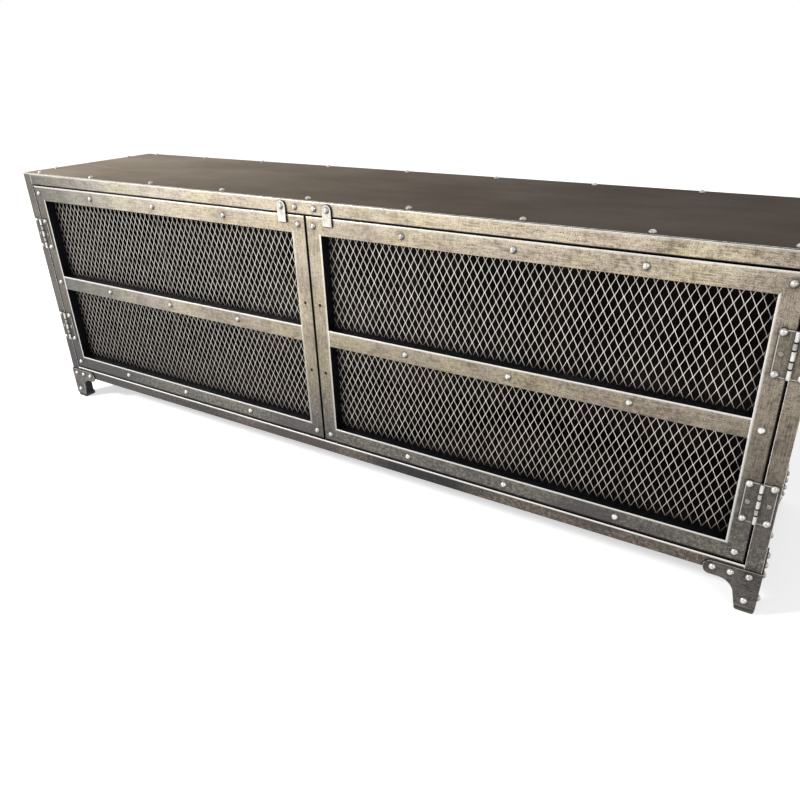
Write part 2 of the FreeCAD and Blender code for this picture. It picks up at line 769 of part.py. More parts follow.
def flat_face(corners):
    points = [Vector(x, 0, z) for x, z in corners]
    return Part.Face(Part.makePolygon(points + points[:1]))


def strand_layer(lean):
    """One of the mesh's two layers: parallel leaning strands inside a plain border."""
    wide, high = float(mesh_width), float(mesh_height)
    border, pitch = float(s.mesh_border), float(s.mesh_pitch_wide)
    slope = lean * pitch / float(s.mesh_pitch_high)
    # Along X a leaning strand measures more than its width square to its run.
    half = float(s.mesh_strand) / 2 * math.hypot(1, slope)
    reach = slope * high / 2
    count = int((wide / 2 + abs(reach)) / pitch) + 1
    strands = []
    for index in range(-count, count):
        middle = wide / 2 + (index + 0.5) * pitch
        strands.append(flat_face([(middle - reach - half, 0), (middle - reach + half, 0),
                                  (middle + reach + half, high), (middle + reach - half, high)]))
    window = flat_face(box_corners(border, wide - border, border, high - border))
    slots = window.cut(Part.makeCompound(strands))
    sheet = flat_face(box_corners(0, wide, 0, high)).cut(slots)
    return sheet.Faces[0].extrude(Vector(0, float(s.mesh_wall) / 2, 0))


def diamond_mesh():
    """Tall diamonds between the crossing strands of two layers that lean opposite ways."""
    front_layer = strand_layer(1)
    back_layer = strand_layer(-1)
    back_layer.translate(Vector(0, float(s.mesh_wall) / 2, 0))
    return Part.makeCompound([front_layer, back_layer])


def door_member(label, x, front_outline, bore_role, bore_box, holes):
    """Mitred steel tube of a door, in the door's own corner frame."""
    body = new_body(label)
    pad(body, "XZ_Plane", [front_outline], s.door_depth)
    bore = new_sketch(body, bore_role)
    outline(bore, bore_box)
    pocket(body, bore_role, bore)
    for points, diameter in holes:
        if points:
            drill(body, "XZ_Plane", points, diameter, s.door_wall)
    put(body, x, front, door_foot)


def door(side, x, outer_at_left):
    """One door: two stiles, three rails, mesh and rivets. x is the door's left edge."""
    stile, rail, wall = s.stile_face, s.rail_face, s.door_wall
    wide, high = door_width, door_height
    depth_box = (wall, s.door_depth - wall)
    mid_low, mid_high = high / 2 - rail / 2, high / 2 + rail / 2
    low_line, mid_line, top_line = rail / 2, high / 2, high - rail / 2

    def inward(distance):
        """Distance from the hinge edge, as a distance from the door's left edge."""
        return distance if outer_at_left else wide - distance

    # Four steps from the outer stile's middle to the inner stile's middle, the end ones shorter.
    step = (wide - stile) / 4
    shifts = [0, -s.door_rivet_shift, 0, s.door_rivet_shift, 0]
    lines = [inward(stile / 2 + step * i + shifts[i]) for i in range(5)]
    hinge_holes = []
    for level in (s.hinge_inset, high - s.hinge_inset):
        for offset in (-s.leaf_rivet_pitch / 2, s.leaf_rivet_pitch / 2):
            hinge_holes.append((inward(s.leaf_rivet_reach - s.door_gap / 2), level + offset))
        hinge_holes.append((inward(s.screw_reach - s.door_gap / 2), level))
    handle_level = high / 2 - s.handle_drop
    handle_holes = [(lines[4], handle_level - s.handle_pitch / 2),
                    (lines[4], handle_level + s.handle_pitch / 2)]

    outer_holes = [(lines[0], low_line), (lines[0], mid_line), (lines[0], top_line)]
    inner_holes = [(lines[4], low_line), (lines[4], top_line)]
    left_shape = [(0, 0), (stile, rail), (stile, high - rail), (0, high)]
    right_shape = [(wide, 0), (wide, high), (wide - stile, high - rail), (wide - stile, rail)]
    left_bore = box_corners(wall, stile - wall, *depth_box)
    right_bore = box_corners(wide - stile + wall, wide - wall, *depth_box)
    stiles = {"outer": [(outer_holes + hinge_holes, shank_hole)],
              "inner": [(inner_holes, shank_hole), (handle_holes, s.handle_hole)]}
    for name, holes in stiles.items():
        at_left = (name == "outer") == outer_at_left
        shape, bore = (left_shape, left_bore) if at_left else (right_shape, right_bore)
        door_member(f"{side}_door_{name}_stile", x, shape, "XY_Plane", bore, holes)

    # The corner rivets sit on the mitres, so the upper and lower rails share the stiles' holes.
    rails = {
        "bottom": ([(0, 0), (wide, 0), (wide - stile, rail), (stile, rail)], 0, low_line, lines),
        "middle": (box_corners(stile, wide - stile, mid_low, mid_high), mid_low, mid_line,
                   lines[1:4]),
        "top": ([(stile, high - rail), (wide - stile, high - rail), (wide, high), (0, high)],
                high - rail, top_line, lines),
    }
    for name, (shape, foot, level, across) in rails.items():
        bore = box_corners(*depth_box, foot + wall, foot + rail - wall)
        points = [(line_x, level) for line_x in across]
        door_member(f"{side}_door_{name}_rail", x, shape, "YZ_Plane", bore, [(points, shank_hole)])

    mesh = doc.addObject("Part::Feature", f"{side}_door_mesh")
    mesh.Label = f"{side}_door_mesh"
    mesh.Shape = diamond_mesh()
    put(mesh, x + s.mesh_inset, front + s.door_depth, door_foot + s.mesh_inset)
    nodes.append(mesh)

    rivet = round_head(s.rivet_head, s.rivet_dome, s.rivet_shank, wall + s.rivet_tail)
    points = outer_holes + inner_holes
    points += [(line_x, level) for line_x in lines[1:4] for level in (low_line, mid_line, top_line)]
    shapes = [stand(rivet, x + px, front, door_foot + pz, FRONT) for px, pz in points]
    toward = 1 if outer_at_left else -1
    axis = -hinge_out if outer_at_left else hinge_out
    group(f"{side}_door_rivets", shapes + leaf_fasteners(axis, toward))


def latch_tab(side, x):
    """Hanging tab with a round head about its pivot and a square end over the door."""
    body = new_body(f"{side}_latch")
    radius = s.latch_width / 2
    pad(body, "XZ_Plane", [box_corners(0, s.latch_width, 0, s.latch_drop)], s.latch_wall)
    head = new_sketch(body, "XZ_Plane")
    circle(head, radius, s.latch_drop, s.latch_width)
    pad_sketch(body, "XZ_Plane", head, s.latch_wall)
    drill(body, "XZ_Plane", [(radius, s.latch_drop)], 2 * (s.pivot_radius + s.pin_clearance))
    put(body, x - radius, front - s.latch_gap - s.latch_wall, latch_height - s.latch_drop)


# ---------------------------------------------------------------- assembly
for corner_name in CORNERS:
    corner_post(corner_name)
    foot_bracket(corner_name)
    foot_pad(corner_name)
case_rails()
middle_supports()
top_sheet()
bottom_sheet()
end_sheet("left", -half_width + s.angle_wall)
end_sheet("right", half_width - s.angle_wall - s.panel_wall)
back_sheet()
top_rivets()
panel_rivets()
foot_bracket_rivets()
latch_fasteners()
hinges()
hinge_pins()
group("frame_hinge_rivets", leaf_fasteners(-hinge_out, -1) + leaf_fasteners(hinge_out, 1))
door("left", -(half_width - s.post_face - s.door_gap), outer_at_left=True)
door("right", s.middle_gap / 2, outer_at_left=False)
latch_tab("left", -s.latch_reach_out)
latch_tab("right", s.latch_reach_out)
doc.recompute()

# ---------------------------------------------------------------- checks and files
failed = [item.Name for item in doc.Objects if "Invalid" in item.State or "Error" in item.State]
if failed:
    raise RuntimeError(f"these objects did not build: {failed}")
for item in doc.Objects:
    if item.TypeId == "PartDesign::Pocket" and item.Shape.Volume > item.BaseFeature.Shape.Volume - 0.1:
        raise RuntimeError(f"{item.Name} cuts nothing")

os.makedirs("parts", exist_ok=True)
for node in nodes:
    shape = node.Shape
    if shape.isNull() or not shape.isValid():
        raise RuntimeError(f"{node.Label} has no sound shape")
    shape.exportStep(f"parts/{node.Label}.step")
print(f"{len(nodes)} sub-parts written")
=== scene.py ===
"""Looks for the steel media cabinet: camera, studio, procedural metals and the expanded mesh."""

import json
import math

import bpy
from mathutils import Matrix, Vector


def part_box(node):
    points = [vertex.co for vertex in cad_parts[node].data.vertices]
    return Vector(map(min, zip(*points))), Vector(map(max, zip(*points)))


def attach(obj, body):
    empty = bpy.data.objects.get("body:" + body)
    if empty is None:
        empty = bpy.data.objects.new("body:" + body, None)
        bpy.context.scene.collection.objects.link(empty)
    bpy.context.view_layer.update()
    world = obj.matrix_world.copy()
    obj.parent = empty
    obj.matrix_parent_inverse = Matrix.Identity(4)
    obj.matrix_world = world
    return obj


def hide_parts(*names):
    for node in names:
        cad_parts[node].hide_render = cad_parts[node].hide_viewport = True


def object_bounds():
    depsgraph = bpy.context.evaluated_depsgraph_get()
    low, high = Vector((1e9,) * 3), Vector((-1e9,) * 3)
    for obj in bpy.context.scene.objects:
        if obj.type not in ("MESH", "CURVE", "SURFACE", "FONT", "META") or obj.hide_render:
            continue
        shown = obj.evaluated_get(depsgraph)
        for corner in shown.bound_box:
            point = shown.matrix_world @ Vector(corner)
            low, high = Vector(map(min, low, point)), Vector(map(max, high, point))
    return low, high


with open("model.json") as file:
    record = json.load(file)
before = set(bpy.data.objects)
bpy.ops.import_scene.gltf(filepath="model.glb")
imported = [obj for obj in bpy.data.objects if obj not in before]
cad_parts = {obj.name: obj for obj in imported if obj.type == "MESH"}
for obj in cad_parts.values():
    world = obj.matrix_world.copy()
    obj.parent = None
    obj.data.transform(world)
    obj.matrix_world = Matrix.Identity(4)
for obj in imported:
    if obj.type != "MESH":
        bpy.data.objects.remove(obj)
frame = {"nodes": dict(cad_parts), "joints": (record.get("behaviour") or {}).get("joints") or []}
cad_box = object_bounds()
nodes = frame["nodes"]

MM = 0.001
OBLONG = ((-1, -1), (1, -1), (1, 1), (-1, 1))   # corners, in half widths from the middle

# ---------------------------------------------------------------- camera
CAMERA_PLACE = Vector((0.9096, -1.2774, 0.8784))
CAMERA_AZIMUTH = math.radians(31.60)
CAMERA_ELEVATION = math.radians(26.38)
CAMERA_ROLL = math.radians(-1.373)
CAMERA_SENSOR = 36              # mm
CAMERA_LENS = 31.55             # mm
CAMERA_SHIFT = (-0.0205, 0.0026)
CAMERA_RANGE = (0.05, 60)       # nearest and farthest distance drawn, in metres


def make_camera():
    """A camera turned by its azimuth, tipped down by its elevation, then rolled about its view."""
    ahead = Vector((-math.sin(CAMERA_AZIMUTH) * math.cos(CAMERA_ELEVATION),
                    math.cos(CAMERA_AZIMUTH) * math.cos(CAMERA_ELEVATION),
                    -math.sin(CAMERA_ELEVATION)))
    level_right = ahead.cross(Vector((0, 0, 1))).normalized()
    level_up = level_right.cross(ahead)
    right = level_right * math.cos(CAMERA_ROLL) + level_up * math.sin(CAMERA_ROLL)
    up = level_up * math.cos(CAMERA_ROLL) - level_right * math.sin(CAMERA_ROLL)
    data = bpy.data.cameras.new("camera")
    data.sensor_width = CAMERA_SENSOR
    data.lens = CAMERA_LENS
    data.shift_x, data.shift_y = CAMERA_SHIFT
    data.clip_start, data.clip_end = CAMERA_RANGE
    camera = bpy.data.objects.new("camera", data)
    camera.matrix_world = Matrix((
        (right.x, up.x, -ahead.x, CAMERA_PLACE.x),
        (right.y, up.y, -ahead.y, CAMERA_PLACE.y),
        (right.z, up.z, -ahead.z, CAMERA_PLACE.z),
        (0, 0, 0, 1)))
    bpy.context.scene.collection.objects.link(camera)
    bpy.context.scene.camera = camera


# ---------------------------------------------------------------- shader building
NODE_SAMPLES = 8                # of the Bevel and Ambient Occlusion nodes
SOFT_EDGE = 0.55                # share of the rounded normal that shows
MITRE = (0.75, 0.45)            # how evenly an edge leans sideways and upwards: weld, then plain edge
BAND_OVERLAP = 0.4 * MM         # how far an edge band reaches past its edge


class Shader:
    """One material's node tree, with short calls for the nodes used here.

    place, across, depth and height are the point in the cabinet's own metres, and normal its
    facing, so a pattern stays on its piece at every pose.
    """

    def __init__(self, name):
        self.material = bpy.data.materials.new(name)
        self.material.use_nodes = True
        self.tree = self.material.node_tree
        self.tree.nodes.clear()
        self.output = self.tree.nodes.new("ShaderNodeOutputMaterial")
        coordinates = self.tree.nodes.new("ShaderNodeTexCoord")
        self.place = coordinates.outputs["Object"]
        self.normal = coordinates.outputs["Normal"]
        self.across, self.depth, self.height = (self.axis(self.place, letter) for letter in "XYZ")

    def add(self, kind, inputs, **settings):
        """A new node with its settings, and its inputs linked or set."""
        node = self.tree.nodes.new(kind)
        for key, value in settings.items():
            setattr(node, key, value)
        for key, value in inputs.items():
            if isinstance(value, bpy.types.NodeSocket):
                self.tree.links.new(value, node.inputs[key])
            else:
                node.inputs[key].default_value = value
        return node

    def math(self, operation, a, b=0.0):
        return self.add("ShaderNodeMath", {0: a, 1: b}, operation=operation).outputs[0]

    def fold(self, operation, first, *others):
        """One operation carried through a row of sockets and numbers, from left to right."""
        for other in others:
            first = self.math(operation, first, other)
        return first

    def plus(self, *terms):
        return self.fold("ADD", *terms)

    def minus(self, a, b):
        return self.math("SUBTRACT", a, b)

    def times(self, *factors):
        return self.fold("MULTIPLY", *factors)

    def most(self, *levels):
        return self.fold("MAXIMUM", *levels)

    def magnitude(self, value):
        """A value without its sign."""
        return self.math("ABSOLUTE", value)

    def swing(self, pattern, amount, middle=0.5):
        """A pattern's departure from its middle level, times an amount."""
        return self.times(self.minus(pattern, middle), amount)

    def axis(self, vector, name):
        return self.add("ShaderNodeSeparateXYZ", {0: vector}).outputs[name]

    def vector_math(self, operation, *vectors):
        inputs = dict(enumerate(vectors))
        return self.add("ShaderNodeVectorMath", inputs, operation=operation).outputs

    def stretch(self, x, y, z):
        """Object coordinates multiplied axis by axis, so that patterns run along one of them."""
        return self.vector_math("MULTIPLY", self.place, (x, y, z))[0]

    def noise(self, vector, scale, detail=3.0, roughness=0.55, distortion=0.0):
        return self.add("ShaderNodeTexNoise", {"Vector": vector, "Scale": scale, "Detail": detail,
                        "Roughness": roughness, "Distortion": distortion}).outputs["Fac"]

    def ramp(self, value, low, high, out_low=0.0, out_high=1.0):
        """A smooth step from one level to another while a value goes from low to high."""
        return self.add("ShaderNodeMapRange", {"Value": value, "From Min": low, "From Max": high,
                        "To Min": out_low, "To Max": out_high},
                        interpolation_type="SMOOTHSTEP").outputs[0]

    def mix(self, factor, a, b, blend="MIX"):
        a = a if isinstance(a, bpy.types.NodeSocket) else (*a, 1.0)
        b = b if isinstance(b, bpy.types.NodeSocket) else (*b, 1.0)
        return self.add("ShaderNodeMix", {0: factor, 6: a, 7: b}, data_type="RGBA",
                        blend_type=blend).outputs[2]

    def tinted(self, colour, tint):
        """A colour multiplied by another."""
        return self.mix(1.0, colour, tint, "MULTIPLY")

    def grey(self, level):
        return self.add("ShaderNodeCombineColor", {0: level, 1: level, 2: level}).outputs[0]

    def scaled(self, colour, level):
        """A colour with each channel multiplied by one number."""
        return self.tinted(colour, self.grey(level))

    def bump(self, height, strength, distance, normal=None):
        inputs = {"Height": height, "Strength": strength, "Distance": distance}
        if normal is not None:
            inputs["Normal"] = normal
        return self.add("ShaderNodeBump", inputs).outputs[0]

    def rounded(self, radius):
        """Normal with edges softened, how near an edge each point is, and the way the edge faces.

        Where the rounding leans sideways and upwards alike the edge is a ground weld across a
        mitre, which stays flat and unworn.
        """
        soft = self.add("ShaderNodeBevel", {"Radius": radius}, samples=NODE_SAMPLES).outputs[0]
        true = self.add("ShaderNodeNewGeometry", {}).outputs["Normal"]
        near = self.ramp(self.vector_math("DOT_PRODUCT", soft, true)["Value"], 0.995, 0.84)
        facing = self.add("ShaderNodeVectorTransform", {0: soft}, vector_type="NORMAL",
                          convert_from="WORLD", convert_to="OBJECT").outputs[0]
        sideways = self.magnitude(self.axis(facing, "X"))
        upwards = self.magnitude(self.axis(facing, "Z"))
        less = self.math("MINIMUM", sideways, upwards)
        more = self.plus(self.most(sideways, upwards), 0.001)
        plain = self.ramp(self.math("DIVIDE", less, more), *MITRE)
        lean = self.times(plain, SOFT_EDGE)
        normal = self.add("ShaderNodeMix", {0: lean, 4: true, 5: soft}, data_type="VECTOR").outputs[1]
        return normal, self.times(near, plain), facing

    def corner_shade(self, distance, clear=0.92, deep=0.45):
        """How deep in a corner or against a neighbour each point lies, from 0 to 1, which is where shade
        is painted.
        """
        sky = self.add("ShaderNodeAmbientOcclusion", {"Distance": distance}, samples=NODE_SAMPLES)
        return self.ramp(sky.outputs["AO"], clear, deep)

    def edge_band(self, value, edge, width):
        """1 along an edge at one place on an axis, and 0 beyond a width.

        The band lies above the edge's place, or below it where the width is negative.
        """
        side = self.math("LESS_THAN" if width < 0 else "GREATER_THAN", value,
                         edge - math.copysign(BAND_OVERLAP, width))
        return self.times(side, self.ramp(value, edge + width, edge + width * 0.25))

    def outward(self):
        """1 on faces that look away from the middle of the cabinet, 0 on those that look in."""
        from_middle = self.vector_math("SUBTRACT", self.place, CABINET_MIDDLE)[0]
        facing = self.vector_math("DOT_PRODUCT", self.normal, from_middle)["Value"]
        return self.ramp(facing, 0.0, 0.05)

    def from_hinge(self):
        """Height above or below the middle of the nearer hinge."""
        from_centre = self.magnitude(self.minus(self.height, (HINGE_HIGH + HINGE_LOW) / 2))
        return self.magnitude(self.minus(from_centre, (HINGE_HIGH - HINGE_LOW) / 2))

    def finish(self, **inputs):
        """The finished material, a Principled shader with these inputs."""
        surface = self.add("ShaderNodeBsdfPrincipled", inputs)
        return self.surface(surface)

    def surface(self, shader):
        self.tree.links.new(shader.outputs[0], self.output.inputs["Surface"])
        return self.material


# ---------------------------------------------------------------- places on the cabinet
CABINET_MIDDLE = (0.0, 0.0, (cad_box[0][2] + cad_box[1][2]) / 2)
END_FACE = -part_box("front_left_post")[0].x
DOOR_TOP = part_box("left_door_top_rail")[1].z
LOW_RAIL_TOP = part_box("front_bottom_rail")[1].z

HINGE_AXIS = max(abs(joint["pos_m"][0]) for joint in frame["joints"])
HINGE_LOW, HINGE_HIGH = ((low.z + high.z) / 2 for low, high in
                         (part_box(f"left_{row}_door_leaf") for row in ("lower", "upper")))
KNUCKLE_RADIUS = (3.6 * MM, 3.0 * MM)       # clear of the barrel, then fully on it
KNUCKLE_JOINTS = (8.5 * MM, 21.0 * MM)      # from a hinge's middle
SEAM_WIDTH = (2.0 * MM, 1.0 * MM)           # clear of a knuckle joint, then fully in it
LEAF_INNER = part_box("right_lower_door_leaf")[0].x
LEAF_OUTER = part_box("right_lower_frame_leaf")[1].x
LEAF_END = (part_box("right_lower_frame_leaf")[1].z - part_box("right_lower_frame_leaf")[0].z) / 2
LEAF_OUTLINE = 2 * MM

# A rail's upper edges, with wear and a painted highlight, as height and strength, and its lower ones in
# painted shade, as height and width.
BRIGHT_TOPS = tuple((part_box(node)[1].z, level) for node, level in (
    ("front_bottom_rail", 1.0), ("left_door_bottom_rail", 0.75), ("left_door_middle_rail", 0.70),
    ("left_door_top_rail", 0.55), ("front_top_rail", 0.25)))
DARK_UNDERSIDES = ((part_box("left_door_bottom_rail")[0].z, 6.0 * MM),
                   (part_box("front_top_rail")[0].z, 2.6 * MM))
TOP_BAND = -5 * MM

# The same across the stiles: each one's edge at the mesh is rubbed and painted with a highlight, and the
# other is in a gap's painted shade.
INNER_STILE_GAP, INNER_STILE_EDGE = (corner.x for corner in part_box("right_door_inner_stile"))
OUTER_STILE_EDGE, OUTER_STILE_GAP = (corner.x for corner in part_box("right_door_outer_stile"))
INNER_STILE_BAND = -6 * MM
OUTER_STILE_BAND = 5 * MM
STILE_GAPS = ((INNER_STILE_GAP, 1.6 * MM), (OUTER_STILE_GAP, -3.0 * MM))

HANDLE_HOLE_ACROSS = 19.25 * MM
HANDLE_HOLE_PITCH = 152.4 * MM
HANDLE_HOLE_RIM = (4.0 * MM, 3.0 * MM)      # clear of a hole, then fully in it
HANDLE_HEIGHT = 343 * MM

# ---------------------------------------------------------------- distressed steel
ALONG = {"x": (0.05, 1, 1), "y": (1, 0.05, 1), "z": (1, 1, 0.05)}

STEEL_DARK = (0.17, 0.145, 0.118)
STEEL_GOLD = (0.64, 0.582, 0.455)
STEEL_ROSE = (0.56, 0.50, 0.452)
# Bright metal of worn edges, which also stands in for their highlight.
STEEL_WORN_AND_HIGHLIT = (0.96, 0.95, 0.90)
# Painted shade on the faces that look into gaps and hollows.
HOLLOW_SHADE = (0.026, 0.027, 0.036)
STEEL_STAIN = (0.13, 0.106, 0.082)
# Painted shade: in corners, under edges, in gaps, in knuckle joints and in handle holes.
PAINTED_SHADE = (0.010, 0.008, 0.007)
DOME_SHADE = (0.06, 0.052, 0.046)
DOME_AT_HINGE = (0.17, 0.145, 0.115)
DOME_UNDERSIDE = (0.62, -0.30, -0.72)       # the way a dome's shaded side faces

# Tints of the upper finish, from the left end's to the rest's.
TINT_LEFT_UPRIGHT = (1.0, 0.945, 0.885)
TINT_LEFT_LEVEL = (0.95, 0.975, 0.985)
TINT_TAN = (0.975, 0.915, 0.785)

# The finish low down, dark with painted shade, and the heat marks in it along the lowest rail.
DUSK_DARK = (0.044, 0.040, 0.041)
DUSK_PLUM = (0.072, 0.061, 0.063)
DUSK_OLIVE = (0.112, 0.102, 0.080)
DUSK_GLINT = (0.42, 0.40, 0.33)
LOW_RAIL_TINT = (0.95, 0.84, 0.78)
SCORCH_TINT = (0.10, 0.105, 0.15)
SCORCHES = ((-0.40, 0.7), (0.28, 1.0))      # place along the rail, and strength
SCORCH_REACH = (0.20, 0.06)                 # clear of a heat mark's middle, then fully in it


class Steel(Shader):
    """The patterns of distressed steel, and its marks, painted shade and painted highlights by their
    place on the cabinet.
    """

    def __init__(self, name, grain):
        super().__init__(name)
        self.upright = grain == "z"
        self.cloud = self.noise(self.place, 9, 3, 0.5)
        self.blotch = self.noise(self.place, 22, 4, 0.55)
        self.mottle = self.noise(self.place, 130, 5, 0.65)
        self.streak = self.noise(self.stretch(*ALONG[grain]), 520, 3, 0.65)
        self.grit = self.noise(self.place, 560, 3, 0.6)
        self.tone = self.plus(self.swing(self.blotch, 0.40, middle=0.25),
                              self.times(self.mottle, 0.75),
                              self.swing(self.streak, 0.75), self.swing(self.grit, 0.55))
        self.rubbed = self.ramp(self.noise(self.place, 110, 4, 0.7), 0.28, 0.52, 0.60, 1.0)

    def patches(self, dark, light, second, graded):
        """Mottled colour in clouds of two hues, calmer in its middle part where it is graded."""
        cloud = self.plus(self.cloud, self.times(self.mottle, 0.3))
        if graded:
            cloud = self.plus(cloud, self.ramp(self.across, 0.45, 0.88, 0.0, 0.14))
        hue = self.mix(self.ramp(cloud, 0.54, 0.80), light, second)
        if graded:
            calm = self.ramp(self.across, 0.60, 0.10, 0.0, 0.60)
            dark = self.mix(calm, dark, self.scaled(hue, 0.55))
        return self.mix(self.ramp(self.tone, 0.26, 0.64), dark, hue)

    def flecked(self, colour, worn_and_highlit, glints):
        """A colour with bright flecks and brown stains."""
        glint = self.times(self.ramp(self.grit, 0.53, 0.67), self.ramp(self.blotch, 0.38, 0.62))
        colour = self.mix(self.times(glint, glints), colour, worn_and_highlit)
        stain = self.ramp(self.noise(self.place, 48, 4, 0.7, 0.6), 0.62, 0.76)
        return self.mix(self.times(stain, 0.40), colour, STEEL_STAIN)

    def shade_falloff(self):
        """Share of brightness left by painted shade towards the feet and the cabinet's ends, a little
        less on the doors than above them.
        """
        low = self.ramp(self.height, 0.06, 0.62, 0.34, 1.0)
        doors = self.ramp(self.height, DOOR_TOP - 24 * MM, DOOR_TOP + 4 * MM, 0.91, 1.03)
        left = self.ramp(self.across, -0.98, -0.38, 0.19, 1.0)
        right = self.ramp(self.across, 0.76, 0.88, 0.95, 0.66)
        return self.times(low, doors, self.times(left, right))

    def burnt(self, drift):
        """How far into a heat mark each point lies, with the marks' ends moved by a pattern."""
        drifted = self.plus(self.across, self.ramp(drift, 0.35, 0.65, -0.03, 0.03))
        level = 0.0
        for place, strength in SCORCHES:
            away = self.magnitude(self.minus(drifted, place))
            level = self.most(level, self.ramp(away, *SCORCH_REACH, 0.0, strength))
        return level

    def dusk(self):
        """The finish low down: plum and olive clouds with specks and the scorched lowest rail, all dark
        with painted shade, and darker still towards the left end.
        """
        drift = self.noise(self.stretch(0.45, 1, 1), 7.5, 2, 0.45)
        dusk = self.mix(self.ramp(drift, 0.46, 0.56), DUSK_PLUM, DUSK_OLIVE)
        dusk = self.mix(self.ramp(self.tone, 0.26, 0.68), DUSK_DARK, dusk)
        speck = self.plus(self.times(self.grit, 0.6), self.times(self.mottle, 0.4))
        speck = self.times(self.ramp(speck, 0.50, 0.64), self.ramp(drift, 0.40, 0.60))
        dusk = self.mix(self.times(speck, 0.80), dusk, DUSK_GLINT)
        low_rail = self.ramp(self.height, LOW_RAIL_TOP + 2 * MM, LOW_RAIL_TOP - MM)
        charred = self.tinted(dusk, self.mix(self.burnt(drift), LOW_RAIL_TINT, SCORCH_TINT))
        dusk = self.mix(low_rail, dusk, charred)
        return self.scaled(dusk, self.ramp(self.across, -0.95, -0.30, 0.42, 1.0))

    def graded(self, colour):
        """A colour as it changes over the cabinet: painted shade at the ends and foot, tan towards the
        middle.
        """
        colour = self.scaled(colour, self.shade_falloff())
        tan = self.times(self.ramp(self.across, -1.00, -0.10), self.ramp(self.height, 0.10, 0.34))
        left = TINT_LEFT_UPRIGHT if self.upright else TINT_LEFT_LEVEL
        colour = self.tinted(colour, self.mix(tan, left, TINT_TAN))
        # Low down the colour gives way to the darker finish, with its painted shade.
        return self.mix(self.ramp(self.height, 0.30, 0.07), colour, self.dusk())

    def shown_faces(self):
        """1 on front, back and end faces, which show, and 1 on the cabinet's end faces alone."""
        front_or_back = self.ramp(self.magnitude(self.axis(self.normal, "Y")), 0.35, 0.60)
        end = self.ramp(self.magnitude(self.across), END_FACE - 0.6 * MM, END_FACE - 0.3 * MM)
        return self.most(front_or_back, end), end

    def outer_edges(self, facing, shown, end):
        """1 on edges that face out of the cabinet, less on the returns beside the doors' gaps."""
        outward = self.times(self.axis(facing, "Y"), self.math("SIGN", self.depth))
        outward = self.most(self.ramp(outward, 0.10, 0.30), end)
        covered = self.times(self.ramp(self.magnitude(self.across), 4 * MM, 7 * MM, 0.1, 1.0),
                             self.ramp(self.height, DOOR_TOP - 9 * MM, DOOR_TOP - 3 * MM, 1.0, 0.30))
        return self.times(outward, self.most(shown, self.times(covered, 0.15)))

    def bright_bands(self):
        """How strong the wear and painted highlight on the broad edges are: the stiles' at the mesh, or
        the rails' upper ones.
        """
        if self.upright:
            reach = self.magnitude(self.across)
            inner = self.times(self.edge_band(reach, INNER_STILE_EDGE, INNER_STILE_BAND),
                               self.ramp(self.height, 0.46, 0.58, 0.40, 0.85),
                               self.ramp(self.across, -MM, MM, 0.5, 1.0))
            return self.most(inner, self.times(
                self.edge_band(reach, OUTER_STILE_EDGE, OUTER_STILE_BAND), 0.65))
        bright = 0.0
        for top, level in BRIGHT_TOPS:
            bright = self.most(bright, self.times(self.edge_band(self.height, top, TOP_BAND), level))
        return bright

    def dark_bands(self):
        """How shaded the edges at the gaps are: beside the stiles, or under the rails."""
        if self.upright:
            reach = self.magnitude(self.across)
            return self.most(*(self.edge_band(reach, edge, width) for edge, width in STILE_GAPS))
        return self.most(*(self.edge_band(self.height, edge, width)
                           for edge, width in DARK_UNDERSIDES))

    def hinge_marks(self, colour, edges):
        """Colour and edges with polished knuckles that carry a painted highlight, painted shade in the
        joints between them, and leaves outlined in wear and painted highlight.
        """
        reach = self.minus(self.magnitude(self.across), HINGE_AXIS)
        barrel = self.ramp(self.magnitude(reach), *KNUCKLE_RADIUS)
        along = self.from_hinge()
        first, last = KNUCKLE_JOINTS
        short = self.times(self.ramp(along, first - MM, first), self.ramp(along, last + MM, last))
        polish_and_highlight = self.minus(0.72, self.times(short, 0.30))
        edges = self.most(edges, self.times(barrel, self.times(polish_and_highlight, self.rubbed)))
        for joint in KNUCKLE_JOINTS:
            apart = self.magnitude(self.minus(along, joint))
            seam = self.times(self.ramp(apart, *SEAM_WIDTH), barrel)
            edges = self.times(edges, self.minus(1.0, seam))
            # Painted shade in the joint between two knuckles.
            colour = self.mix(self.times(seam, 0.85), colour, PAINTED_SHADE)
        outline = self.most(self.edge_band(self.magnitude(self.across), LEAF_INNER, LEAF_OUTLINE),
                            self.edge_band(self.magnitude(self.across), LEAF_OUTER, -LEAF_OUTLINE),
                            self.edge_band(along, LEAF_END, -LEAF_OUTLINE))
        edges = self.most(edges, self.times(outline, self.times(self.rubbed, 0.45)))
        return colour, edges

    def handle_holes(self):
        """1 inside and round the four screw holes for the handles, 0 elsewhere: where shade is painted.
        """
        across = self.minus(self.magnitude(self.across), HANDLE_HOLE_ACROSS)
        height = self.minus(self.magnitude(self.minus(self.height, HANDLE_HEIGHT)), HANDLE_HOLE_PITCH / 2)
        offset = self.add("ShaderNodeCombineXYZ", {"X": across, "Z": height}).outputs[0]
        return self.ramp(self.vector_math("LENGTH", offset)["Value"], *HANDLE_HOLE_RIM)

    def dome_shade(self, colour):
        """A colour shaded on each dome's lower right, and darker on the hinges' middle screws."""
        low_right = self.vector_math("DOT_PRODUCT", self.normal, DOME_UNDERSIDE)["Value"]
        colour = self.mix(self.ramp(low_right, 0.42, 0.80, 0.0, 0.80), colour, DOME_SHADE)
        at_hinge = self.times(self.ramp(self.from_hinge(), 7 * MM, 5 * MM),
                              self.math("GREATER_THAN", self.magnitude(self.across), OUTER_STILE_EDGE))
        return self.mix(self.times(at_hinge, 0.80), colour, DOME_AT_HINGE)


